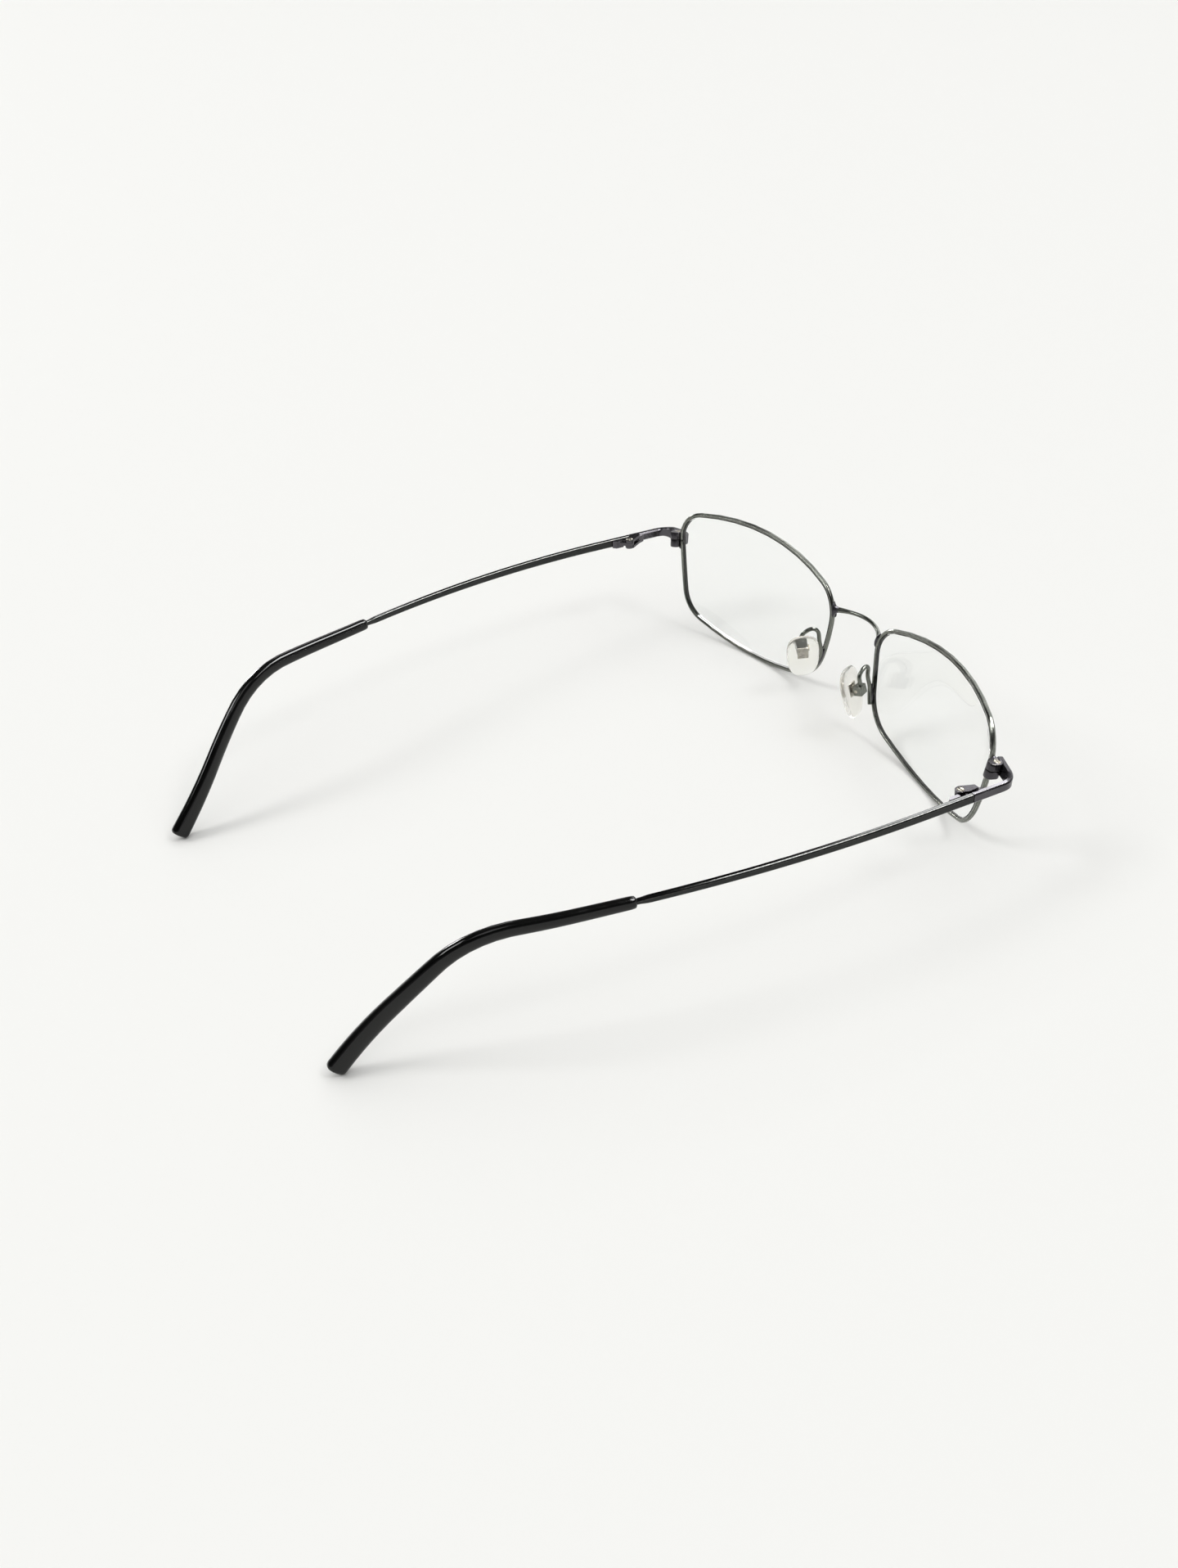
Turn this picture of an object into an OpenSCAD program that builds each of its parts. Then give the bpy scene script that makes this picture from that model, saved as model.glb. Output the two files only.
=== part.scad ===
/* [Lenses] */
// Width of each lens across its widest point
lens_width = 49.6; // [44:0.2:56]
// Height of each lens
lens_height = 29.1; // [26:0.1:36]
// Gap between the two lenses at the nose
nose_gap = 17.4; // [15:0.2:22]
// Thickness of each lens
lens_thickness = 1.2; // [1:0.1:1.8]
// Radius of the front curve of each lens
lens_curve = 86.5; // [70:0.5:130]
// Forward lean of the top of each rim
rim_lean = 12.8; // [6:0.2:16]
// Backward turn of each rim towards its temple
face_wrap = 10.1; // [4:0.1:13]

/* [Rim outline] */
// Heading of the outer side where it leaves the lower outer corner
first_heading = 72.5; // [68:0.5:76]
// Turn of the outer side
outer_turn = 10; // [6:0.5:14]
// Turn of the upper outer corner
upper_outer_turn = 82; // [78:0.5:86]
// Turn of the top
top_turn = 33.5; // [26:0.5:40]
// Turn of the upper inner corner
upper_inner_turn = 75.5; // [70:0.5:80]
// Turn of the side next to the nose
nose_side_turn = 8.5; // [5:0.5:12]
// Turn of the lower inner corner
lower_inner_turn = 60; // [54:0.5:66]
// Turn of the bottom
bottom_turn = 33.5; // [26:0.5:38]
// Radius of the upper outer corner
upper_outer_radius = 6.6; // [4:0.1:10]
// Radius of the upper inner corner
upper_inner_radius = 7.1; // [4:0.1:11]
// Radius of the side next to the nose
nose_side_radius = 59; // [45:1:80]
// Radius of the lower inner corner
lower_inner_radius = 10; // [6:0.1:14]
// Radius of the bottom
bottom_radius = 58.4; // [48:0.2:70]
// Radius of the lower outer corner
lower_outer_radius = 8.5; // [5:0.1:12]

/* [Rim wire] */
// Width of the rim wire seen from the front
wire_width = 0.9; // [0.8:0.05:1.3]
// Depth of the rim wire from front to back
wire_depth = 1.15; // [1.1:0.05:2]
// Depth of the lens groove in the rim wire
groove_depth = 0.35; // [0.25:0.05:0.45]
// Width of the lens groove
groove_width = 0.62; // [0.5:0.02:0.8]

/* [Rim lock] */
// Height of the closing barrel that shuts each rim
lock_height = 3.5; // [3.2:0.1:4.4]
// Radius of the closing barrel
lock_radius = 1.15; // [1:0.05:1.5]
// Distance that the closing barrel runs on behind its screw
lock_tail = 0.8; // [0.2:0.1:1.8]
// Gap between the two halves of the closing barrel
lock_split = 0.16; // [0.1:0.02:0.3]
// Radius of the closing screw
lock_screw_radius = 0.45; // [0.35:0.05:0.6]

/* [Bridge] */
// Forward bow of the bridge wire
bridge_bow = 3.1; // [2:0.05:5]
// Depth of the bridge wire
bridge_depth = 0.9; // [0.8:0.05:1.6]
// Height of the bridge wire
bridge_height = 0.9; // [0.8:0.05:1.4]

/* [End pieces and hinges] */
// Thickness of the end piece and of the temple bar
bar_thickness = 1.25; // [1:0.05:1.5]
// Height of the end piece and of the temple bar at the hinge
bar_height = 1.9; // [1.7:0.05:2.6]
// Length of the end piece from its corner to the hinge seam
end_piece_length = 9.6; // [8.6:0.1:12]
// Distance of the hinge seam behind the front of the lenses
seam_setback = 17; // [15.5:0.1:20]
// Distance of each hinge seam outside the rim at its lock
seam_reach = 7.45; // [6:0.05:10]
// Height of the temple bar at the hinge seam above the middle of the rim lock
seam_rise = 0.5; // [0:0.05:1.2]
// Radius of the hinge barrel
barrel_radius = 1.05; // [0.95:0.05:1.2]
// Distance of the hinge pin inside the middle of the bar
pin_inset = 2.2; // [2.1:0.05:2.4]
// Radius of the hinge pin
pin_radius = 0.45; // [0.35:0.05:0.55]
// Height of the hinge barrel
barrel_height = 2.05; // [2:0.05:2.8]
// Height of the middle knuckle of the hinge
middle_knuckle = 0.75; // [0.6:0.05:1]
// Height of the middle of the hinge above the middle of the bar
hinge_lift = 0.2; // [0:0.05:0.3]

/* [Temples] */
// Length of a temple along its curve from the seam to the end of its tip
temple_length = 135.2; // [125:0.2:150]
// Length of the plastic tip along the temple
tip_length = 66.2; // [55:0.2:72]
// Outward turn of the temple at the hinge
splay = 2.1; // [1:0.1:6]
// Inward bow of the metal bar
bar_bow = 13.6; // [8:0.1:20]
// Inward bow of the tip
tip_bow = 15.6; // [6:0.1:20]
// Outward flare of the last stretch of the tip
tip_flare = 18.5; // [0:0.5:24]
// Downward bow of the metal bar
bar_sag = 3; // [0:0.1:5]
// Distance along the temple where the ear bend starts
bend_start = 90.2; // [84:0.2:100]
// Length of the ear bend
bend_length = 16.4; // [12:0.2:22]
// Angle of the ear bend
ear_bend = 44; // [34:0.5:52]
// Further droop of the tip behind the ear bend
tip_droop = 5; // [0:0.5:10]
// Height of the temple bar where it meets the tip
bar_end_height = 1.4; // [1.1:0.05:1.8]
// Width and height of the slim neck of the bar at the tip
neck_size = 1.05; // [0.8:0.05:1.2]
// Height of the tip at its nose
tip_nose_height = 2.4; // [2.2:0.05:3]
// Height of the tip at its end
tip_end_height = 4.1; // [3.4:0.1:5]
// Thickness of the tip at its nose
tip_nose_thickness = 2.1; // [1.9:0.05:2.8]
// Thickness of the tip at its end
tip_end_thickness = 2.7; // [2.4:0.1:3.6]

/* [Nose pads] */
// Height of a nose pad
pad_height = 11.3; // [11:0.1:15]
// Width of a nose pad
pad_width = 7.8; // [6.5:0.1:9]
// Thickness of a nose pad at its middle
pad_thickness = 1.5; // [1.4:0.05:1.9]
// Distance of each pad from the middle of the frame
pad_reach = 9.2; // [8.6:0.1:10.5]
// Distance of each pad behind the front of the lenses
pad_setback = 5.7; // [5.3:0.1:7]
// Height of each pad above the table
pad_rise = 11.9; // [11.5:0.05:13.5]
// Opening of the pads towards the wearer
pad_splay = 26; // [22:1:35]
// Lean of the pad within its own plane
pad_cant = 3; // [0:0.5:14]
// Flare of the pad's lower end away from the nose
pad_flare = 12; // [6:0.5:20]
// Radius of the wire of the pad arm
arm_radius = 0.45; // [0.4:0.05:0.55]
// Height of the top of the pad arm's loop above the pad screw
arm_loop_height = 3.9; // [3.6:0.1:5]

/* [Hidden] */
$fn = 48;

// Clearance of soldered, pressed and running fits
seat = 0.03;
running = 0.05;

// Steps along each of the eight stretches of the rim outline
arc_steps = 8;
// Places on the outline, as the number of the stretch plus the share of it that has passed
lock_place = 0.955;
bridge_place = 3.71;
arm_foot_low = 5.25;
arm_foot_high = 4.82;

// Vector helpers
function unit(v) = v / norm(v);
function turn_x(a, p) = [p.x, p.y * cos(a) - p.z * sin(a), p.y * sin(a) + p.z * cos(a)];
function turn_y(a, p) = [p.x * cos(a) + p.z * sin(a), p.y, p.z * cos(a) - p.x * sin(a)];
function turn_z(a, p) = [p.x * cos(a) - p.y * sin(a), p.x * sin(a) + p.y * cos(a), p.z];
function total(v, i = 0) = i < len(v) ? v[i] + total(v, i + 1) : 0;
function low(points, axis) = min([for (p = points) p[axis]]);
function high(points, axis) = max([for (p = points) p[axis]]);
function blend(a, b, share) = a + (b - a) * share;
function smooth(x) = let (c = min(1, max(0, x))) c * c * (3 - 2 * c);

// Triangles that close a convex ring
function fan(sides) = [for (j = [1 : sides - 2]) [0, j, j + 1]];

// Closed skin over rings that have the same number of points, closed at both ends by the cap's triangles
module skin(rings, cap = undef) {
  sides = len(rings[0]);
  count = len(rings);
  lid = is_undef(cap) ? fan(sides) : cap;
  walls = [
    for (i = [0 : count - 2]) for (j = [0 : sides - 1])
      let (k = (j + 1) % sides)
      each [
        [i * sides + j, i * sides + k, (i + 1) * sides + k],
        [i * sides + j, (i + 1) * sides + k, (i + 1) * sides + j]
      ]
  ];
  first = [for (t = lid) [t[2], t[1], t[0]]];
  last = [for (t = lid) [for (j = t) (count - 1) * sides + j]];
  polyhedron([for (r = rings) each r], concat(walls, first, last));
}

// Ring of section points round p, where path is the direction of travel and up is roughly up
function ring(p, path, up, section) =
  let (side = unit(cross(path, up)), rise = unit(cross(side, path)))
  [for (q = section) p + side * q.x + rise * q.y];

// Bar section with bevelled corners
function bar_section(width, height, bevel) =
  let (x = width / 2, y = height / 2)
  [
    [x, bevel - y], [x, y - bevel], [x - bevel, y], [bevel - x, y],
    [-x, y - bevel], [-x, bevel - y], [bevel - x, -y], [x - bevel, -y]
  ];

// Rounded section between an ellipse and a rectangle
function round_section(width, height, count, square = 0.8) =
  [
    for (i = [0 : count - 1])
      let (a = 360 * i / count, c = cos(a), s = sin(a))
      [width / 2 * sign(c) * pow(abs(c), square), height / 2 * sign(s) * pow(abs(s), square)]
  ];

// Rim outline, eight arcs that follow each other without a break in direction
half_wire = wire_width / 2;
outline_width = lens_width + 2 * (half_wire - groove_depth + seat);
outline_height = lens_height + 2 * (half_wire - groove_depth + seat);
known_turns = [
  outer_turn, upper_outer_turn, top_turn, upper_inner_turn, nose_side_turn, lower_inner_turn, bottom_turn
];
turns = concat(known_turns, [360 - total(known_turns)]);
stretches = len(turns);
headings = [for (i = 0, h = first_heading; i < stretches; h = h + turns[i], i = i + 1) h];
function arc_move(i, share) =
  let (a = headings[i], b = a + turns[i] * share)
  [sin(b) - sin(a), cos(a) - cos(b)];
given_radii = [
  0, upper_outer_radius, 0, upper_inner_radius, nose_side_radius,
  lower_inner_radius, bottom_radius, lower_outer_radius
];
// The outer side and the top take the radii that close the outline
rest_move = -[
  for (axis = [0, 1]) total([for (i = [0 : stretches - 1]) given_radii[i] * arc_move(i, 1)[axis]])
];
outer_move = arc_move(0, 1);
top_move = arc_move(2, 1);
closing = outer_move.x * top_move.y - top_move.x * outer_move.y;
outer_radius = (rest_move.x * top_move.y - top_move.x * rest_move.y) / closing;
top_radius = (outer_move.x * rest_move.y - rest_move.x * outer_move.y) / closing;
radii = [for (i = [0 : stretches - 1]) i == 0 ? outer_radius : i == 2 ? top_radius : given_radii[i]];
corners = [for (i = 0, p = [0, 0]; i < stretches; p = p + radii[i] * arc_move(i, 1), i = i + 1) p];
function raw_point(place) =
  let (i = floor(place) % stretches)
  corners[i] + radii[i] * arc_move(i, place - floor(place));
raw_outline = [for (k = [0 : stretches * arc_steps - 1]) raw_point(k / arc_steps)];
raw_low = [low(raw_outline, 0), low(raw_outline, 1)];
raw_high = [high(raw_outline, 0), high(raw_outline, 1)];
raw_size = raw_high - raw_low;
raw_middle = (raw_high + raw_low) / 2;
function outline_point(place) =
  let (p = raw_point(place) - raw_middle)
  [p.x * outline_width / raw_size.x, p.y * outline_height / raw_size.y];
function outline_heading(place) =
  let (i = floor(place) % stretches, h = headings[i] + turns[i] * (place - floor(place)))
  unit([cos(h) * outline_width / raw_size.x, sin(h) * outline_height / raw_size.y]);
function outline_outward(place) = let (t = outline_heading(place)) [t.y, -t.x];
function bulge(p) = lens_curve - sqrt(lens_curve * lens_curve - p.x * p.x - p.y * p.y);
function on_curve(p) = [p.x, bulge(p), p.y];
function rim_place(place) = on_curve(outline_point(place));
function widened(grow) =
  [
    for (k = [0 : stretches * arc_steps - 1])
      outline_point(k / arc_steps) + outline_outward(k / arc_steps) * grow
  ];

// Rim wire, swept along the outline with its groove on the inner side
wire_bevel = 0.17;
rim_section =
  let (x = half_wire, y = wire_depth / 2, b = wire_bevel, g = groove_width / 2, f = groove_depth)
  [
    [-x, -g], [-x, b - y], [b - x, -y], [x - 2 * b, -y], [x, 2 * b - y], [x, y - 2 * b],
    [x - 2 * b, y], [b - x, y], [-x, y - b], [-x, g], [f - x, g], [f - x, -g]
  ];
// Triangles that close the grooved section
rim_cap = [
  [11, 0, 1], [11, 1, 2], [11, 2, 3], [11, 3, 4], [11, 4, 5], [11, 5, 10],
  [10, 5, 6], [10, 6, 7], [10, 7, 8], [10, 8, 9]
];
function rim_ring(place) =
  let (p = outline_point(place), n = outline_outward(place))
  [for (q = rim_section) on_curve(p + n * q.x) + [0, q.y, 0]];
lock_gap = lock_split / 2 / (outer_radius * outer_turn * PI / 180);
rim_first = ceil((lock_place + 2 * lock_gap) * arc_steps);
rim_last = floor((stretches + lock_place - 2 * lock_gap) * arc_steps);
rim_places = concat(
  [lock_place + lock_gap],
  [for (k = [rim_first : rim_last]) k / arc_steps],
  [stretches + lock_place - lock_gap]
);

// The lens plane of the left side, and the height at which the rims touch the table
function lean_and_wrap(p) = turn_x(rim_lean, turn_z(face_wrap, p));
rim_bottom = low([for (s = rim_places) each [for (q = rim_ring(s)) lean_and_wrap(q)]], 2);
lens_reach = (lens_width + nose_gap) / 2;
lens_place = [lens_reach, 0, -rim_bottom];
function from_lens(p) = lens_place + lean_and_wrap(p);
module in_lens_plane() {
  translate(lens_place) rotate([rim_lean, 0, 0]) rotate([0, 0, face_wrap]) children();
}

// The rim lock stands on the outer side of the rim, x outwards, y back and z along the rim
lock_heading = outline_heading(lock_place);
lock_tilt = atan2(lock_heading.x, lock_heading.y);
lock_reach = half_wire + seat + lock_radius;
lock_web_share = 0.75;
lock_web = lock_radius * lock_web_share;
module at_lock() {
  in_lens_plane() translate(rim_place(lock_place)) rotate([0, lock_tilt, 0]) children();
}
function from_lock(p) = from_lens(rim_place(lock_place) + turn_y(lock_tilt, p));

// Temple path: pitch above the table and heading out from straight back, along its length
bar_length = temple_length - tip_length;
bend_end = bend_start + bend_length;
straight_start = 8;
tip_straight = 11;
flare_wait = 11.7;
bend_lift = 1.2;
function pitch_at(s, start) =
  let (bar = start - bar_sag, before = bar + bend_lift, after = before - ear_bend)
  lookup(s, [
    [0, start], [bar_length, bar], [bend_start, before], [bend_end, after], [temple_length, after - tip_droop]
  ]);
function heading_at(s) =
  let (bar = splay - bar_bow, tip = bar - tip_bow)
  lookup(s, [
    [0, splay], [straight_start, splay], [bar_length, bar], [bar_length + tip_straight, bar],
    [bend_end + flare_wait, tip], [temple_length, tip + tip_flare]
  ]);
function direction_at(s, start) =
  let (h = heading_at(s), p = pitch_at(s, start))
  [sin(h) * cos(p), cos(h) * cos(p), sin(p)];
path_steps = 160;
path_step = temple_length / path_steps;
lock_middle = from_lock([0, 0, 0]);
seam = [lock_middle.x + seam_reach, seam_setback, lock_middle.z + seam_rise];
function path_move(i, start) = path_step * direction_at((i + 0.5) * path_step, start);
function path_from(start) =
  [for (i = 0, p = seam; i <= path_steps; p = p + path_move(i, start), i = i + 1) p];
function path_at(s, route) =
  let (t = s / path_step, i = min(path_steps - 1, floor(t)))
  blend(route[i], route[i + 1], t - i);
function temple_ring(s, section, route, start) =
  ring(path_at(s, route), direction_at(s, start), [0, 0, 1], section);

// Tip: round nose, slow swell to the end, round end
nose_round = 1.5;
end_round = 1.1;
nose_share = 0.7;
end_share = 0.5;
round_spacing = 1.5;
swell_power = 1.25;
round_steps = 4;
tip_steps = 24;
tip_sides = 16;
function dome(x) = sqrt(1 - (1 - x) * (1 - x));
function tip_ring(s, factor, route, start) =
  let (
    share = (s - bar_length) / tip_length,
    w = blend(tip_nose_thickness, tip_end_thickness, share) * factor,
    h = blend(tip_nose_height, tip_end_height, pow(share, swell_power)) * factor
  )
  temple_ring(s, round_section(w, h, tip_sides), route, start);
function tip_end(route, start) =
  [
    for (k = [round_steps - 1 : -1 : 0])
      let (x = k / round_steps, s = temple_length - end_round * pow(x, round_spacing))
      tip_ring(s, blend(end_share, 1, dome(x)), route, start)
  ];

// The pitch at the hinge is settled so that the tips rest on the table with the rims
first_pitch = 5;
pitch_rounds = 4;
function settled_pitch(start, rounds) =
  rounds == 0 ? start
  : let (route = path_from(start), drop = low([for (r = tip_end(route, start)) each r], 2))
    settled_pitch(start - atan(drop / (route[path_steps].y - seam.y)), rounds - 1);
hinge_pitch = settled_pitch(first_pitch, pitch_rounds);
path = path_from(hinge_pitch);
function own_ring(s, factor) = tip_ring(s, factor, path, hinge_pitch);
tip_middle = tip_length - nose_round - end_round;
tip_rings = concat(
  [
    for (k = [0 : round_steps - 1])
      let (x = k / round_steps)
      own_ring(bar_length + nose_round * pow(x, round_spacing), blend(nose_share, 1, dome(x)))
  ],
  [for (k = [0 : tip_steps]) own_ring(bar_length + nose_round + tip_middle * k / tip_steps, 1)],
  tip_end(path, hinge_pitch)
);

// Bar: height falls to the tip, then a slim neck runs on as the core of the tip
neck_length = 2.6;
core_setback = 7;
core_end = temple_length - core_setback;
bevel_share = 0.22;
bar_steps = 20;
neck_steps = 5;
core_steps = 22;
function bar_ring(s, grow) =
  let (
    waist = smooth((s - bar_length + neck_length) / neck_length),
    w = blend(bar_thickness, neck_size, waist) + 2 * grow,
    h = blend(blend(bar_height, bar_end_height, s / bar_length), neck_size, waist) + 2 * grow
  )
  temple_ring(s, bar_section(w, h, min(w, h) * bevel_share), path, hinge_pitch);
bar_places = concat(
  [for (k = [0 : bar_steps]) (bar_length - neck_length) * k / bar_steps],
  [for (k = [1 : neck_steps]) bar_length - neck_length + neck_length * k / neck_steps]
);
core_places = [for (k = [1 : core_steps]) bar_length + (core_end - bar_length) * k / core_steps];

// Hinge: x outwards, y back and z up from the middle of its pin
seam_gap = 0.08;
pin_setback = 1;
hinge_place = seam + turn_z(-splay, [-pin_inset, pin_setback, hinge_lift]);
module at_hinge() {
  translate(hinge_place) rotate([0, 0, -splay]) children();
}
leaf_face = pin_inset - bar_thickness / 2 - seat;
knuckle_gap = 0.05;
ear_bottom = middle_knuckle / 2 + knuckle_gap;
ear_height = barrel_height / 2 - ear_bottom;
head_overhang = 0.27;
head_radius = pin_radius + head_overhang;
head_height = 0.28;

// End piece: in front of the lock, round the corner and back along the bar line to the seam
strip_ratio = 1.6;
strip_height = strip_ratio * bar_height;
strip_sink = 0.25;
strip_drop = 0.1;
strip_blunt = 0.3;
corner_round = 2.4;
corner_steps = 6;
lock_twist = 0.3;
strip_start = from_lock([
  0, strip_sink - lock_radius - bar_thickness / 2, (lock_height - strip_height) / 2 - strip_drop
]);
bar_direction = direction_at(0, hinge_pitch);
bar_up = unit(cross(cross(bar_direction, [0, 0, 1]), bar_direction));
corner = seam - bar_direction * end_piece_length;
front_direction = unit(corner - strip_start);
lock_up = unit(from_lock([0, 0, 1]) - from_lock([0, 0, 0]));
function corner_point(x) =
  let (a = corner - front_direction * corner_round, b = corner + bar_direction * corner_round)
  a * (1 - x) * (1 - x) + corner * 2 * x * (1 - x) + b * x * x;
strip_bevel = bar_thickness * bevel_share;
function strip_ring(p, d, x, height) =
  ring(p, d, unit(blend(lock_up, bar_up, x)), bar_section(bar_thickness, height, strip_bevel));
function corner_ring(x) =
  let (
    d = unit(blend(front_direction, bar_direction, x)),
    height = blend(strip_height, bar_height, smooth(x + lock_twist))
  )
  strip_ring(corner_point(x), d, blend(lock_twist, 1, x), height);
end_rings = concat(
  [strip_ring(strip_start, front_direction, 0, strip_height - strip_blunt)],
  [strip_ring(strip_start + front_direction * strip_blunt, front_direction, 0, strip_height)],
  [for (k = [0 : corner_steps]) corner_ring(k / corner_steps)],
  [strip_ring(seam - bar_direction * seam_gap, bar_direction, 1, bar_height)]
);

// Bridge: a bow between the flat outer faces of the two rims
bridge_swell = 1.35;
swell_start = 0.6;
swell_length = 0.3;
bridge_sides = 12;
bridge_steps = 12;
bridge_outward = outline_outward(bridge_place);
bridge_heading = outline_heading(bridge_place);
bridge_offset = (half_wire + seat) * bridge_outward;
bridge_end = from_lens(rim_place(bridge_place) + [bridge_offset.x, 0, bridge_offset.y]);
function bridge_section(swell) =
  round_section(bridge_depth * swell, bridge_height * swell, bridge_sides, 1);
function bridge_ring(share) =
  ring(
    [bridge_end.x * share, bridge_end.y - bridge_bow * (1 - share * share), bridge_end.z],
    unit([bridge_end.x, 2 * bridge_bow * share, 0]), [0, 0, 1],
    bridge_section(blend(1, bridge_swell, smooth((abs(share) - swell_start) / swell_length)))
  );
// The end rings lie flat on the rims
bridge_side = lean_and_wrap([0, -1, 0]);
bridge_rise = lean_and_wrap([-bridge_heading.x, 0, -bridge_heading.y]);
function bridge_foot(side) =
  [
    for (q = bridge_section(bridge_swell))
      let (p = bridge_end + bridge_side * q.x + bridge_rise * q.y)
      [p.x * side, p.y, p.z]
  ];
bridge_rings = concat(
  [bridge_foot(-1)],
  [for (k = [1 - bridge_steps : bridge_steps - 1]) bridge_ring(k / bridge_steps)],
  [bridge_foot(1)]
);

// The origin lies at the bottom, halfway along the whole frame
front_edge = low([for (r = bridge_rings) each r], 1);
rear_edge = high([for (r = tip_rings) each r], 1);
module on_table() {
  translate([0, -(front_edge + rear_edge) / 2, 0]) children();
}
module both_sides(side) {
  on_table() mirror([side == "right" ? 1 : 0, 0, 0]) children();
}

// Nose pad: y towards the nose, x back along the pad screw, z up
standoff = 1.85;
pad_lift = 0.75;
pad_turn = 90 - pad_splay;
function turn_pad(p) = turn_z(pad_turn, turn_x(-pad_flare, p));
screw_place = [pad_reach, pad_setback, pad_rise] + turn_pad([0, -standoff, pad_lift]);
module at_pad() {
  translate(screw_place) rotate([0, 0, pad_turn]) rotate([-pad_flare, 0, 0]) children();
}
function from_pad(p) = screw_place + turn_pad(p);
pad_sides = 32;
pad_steps = 4;
pad_taper = 0.14;
pad_squareness = 0.68;
pad_edge_share = 0.55;
pad_rim_share = 0.2;
function pad_edge(a) =
  let (c = cos(a), s = sin(a), taper = 1 - pad_taper * (1 - s) / 2)
  [
    pad_width / 2 * taper * sign(c) * pow(abs(c), pad_squareness),
    pad_height / 2 * sign(s) * pow(abs(s), pad_squareness)
  ];
function pad_layer(scale, y) =
  [
    for (i = [0 : pad_sides - 1])
      let (p = pad_edge(360 * i / pad_sides) * scale, q = turn_y(-pad_cant, [p.x, 0, p.y]))
      [q.x, y, q.z]
  ];
// Layers from the flat edge to the middle of one face, on the side named by its sign
function pad_face(side, x) =
  pad_layer(dome(x), side * blend(pad_thickness, pad_thickness * pad_edge_share, x) / 2);
pad_rings = concat(
  [for (k = [1 : pad_steps]) pad_face(-1, k / pad_steps)],
  [for (side = [-1, 1]) pad_layer(1 + pad_rim_share / pad_width, side * pad_thickness * pad_rim_share / 2)],
  [for (k = [pad_steps : -1 : 1]) pad_face(1, k / pad_steps)]
);

// Pad insert, box and screw
insert_width = 2.4;
insert_height = 2.9;
insert_thickness = 0.4;
insert_cover = 0.25;
insert_middle = standoff - pad_thickness / 2 + insert_cover + insert_thickness / 2;
lug_width = 0.9;
lug_half = 0.76;
lug_back = 0.65;
pad_screw_radius = 0.35;
box_width = 2.3;
box_half = 1;
box_back = 1.3;
box_front = 0.6;
lug_play = 0.1;
slot_width = lug_width + 2 * lug_play;
slot_half = 0.88;
slot_back = 0.9;
screw_head = 0.62;
screw_head_height = 0.35;

// Pad arm: a foot along the back of the rim, a loop up and over, and down into the box
arm_side = wire_depth / 2 + arm_radius + seat;
function on_rim_back(place) = from_lens(rim_place(place) + [0, arm_side, 0]);
arm_end = from_pad([0, arm_radius + 2 * seat - box_back, box_half + seat]);
arm_end_direction = turn_pad([0, 0, -1]);
foot_low = on_rim_back(arm_foot_low);
foot_high = on_rim_back(arm_foot_high);
loop_top = screw_place.z + arm_loop_height;
arm_away = 0.8;
arm_rise = 2.6;
crown = 0.75;
shoulder = 0.5;
stub = 0.7;
// Shares of the way from the foot to the box at three places of the loop, across and back
loop_shares = [[0.1, 0.08], [0.4, 0.45], [0.75, 1]];
function across(i, z) =
  let (share = loop_shares[i])
  [blend(foot_high.x, arm_end.x, share.x), blend(foot_high.y, arm_end.y, share.y), z];
arm_route = [
  foot_low, on_rim_back((arm_foot_low + arm_foot_high) / 2), foot_high,
  foot_high + [0, arm_away, loop_top - arm_rise - foot_high.z],
  across(0, loop_top - shoulder),
  across(1, loop_top + crown),
  across(2, loop_top - shoulder),
  arm_end - arm_end_direction * 2 * stub, arm_end - arm_end_direction * stub, arm_end
];
// Smooth curve through a route, ending on its first and last points
function spline(route, i, u) =
  let (
    n = len(route) - 1,
    a = i == 0 ? route[0] * 2 - route[1] : route[i - 1],
    b = route[i],
    c = route[i + 1],
    d = i + 2 > n ? route[n] * 2 - route[n - 1] : route[i + 2]
  )
  (a * (1 - u) * (1 - u) * (1 - u) + b * (3 * u * u * u - 6 * u * u + 4)
    + c * (3 * u * u - 3 * u * u * u + 3 * u + 1) + d * u * u * u) / 6;
nearby = 0.01;
function slope(route, i, u) = unit(spline(route, i, u + nearby) - spline(route, i, u - nearby));
arm_sides = 10;
arm_steps = 4;
arm_spans = len(arm_route) - 1;
arm_across = [1, 0, 0];
arm_section = round_section(2 * arm_radius, 2 * arm_radius, arm_sides, 1);
arm_rings = concat(
  [
    for (i = [0 : arm_spans - 1]) for (k = [0 : arm_steps - 1])
      ring(spline(arm_route, i, k / arm_steps), slope(arm_route, i, k / arm_steps), arm_across, arm_section)
  ],
  [ring(spline(arm_route, arm_spans - 1, 1), arm_end_direction, arm_across, arm_section)]
);

// Rim wire, split at the lock
module rim(side) {
  color([0.2, 0.19, 0.21]) both_sides(side) in_lens_plane()
    skin([for (k = [len(rim_places) - 1 : -1 : 0]) rim_ring(rim_places[k])], rim_cap);
}

// Lens: a curved plate inside the rim with a thinner edge in the groove
lens_facets = 120;
lens_relief = 0.06;
edge_fill = 0.62;
module curved_plate(grow, thickness) {
  intersection() {
    rotate([90, 0, 0]) translate([0, 0, -lens_curve / 2]) linear_extrude(height = lens_curve)
      polygon(widened(grow));
    translate([0, lens_curve, 0]) difference() {
      sphere(r = lens_curve + thickness / 2, $fn = lens_facets);
      sphere(r = lens_curve - thickness / 2, $fn = lens_facets);
    }
  }
}
module lens(side) {
  color([0.85, 0.9, 0.92, 0.35]) both_sides(side) in_lens_plane() union() {
    curved_plate(-half_wire - lens_relief, lens_thickness);
    curved_plate(groove_depth - half_wire - seat, groove_width * edge_fill);
  }
}

// Bridge wire with thicker soldered ends
module bridge() {
  color([0.2, 0.19, 0.21]) on_table() skin(bridge_rings);
}

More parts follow.
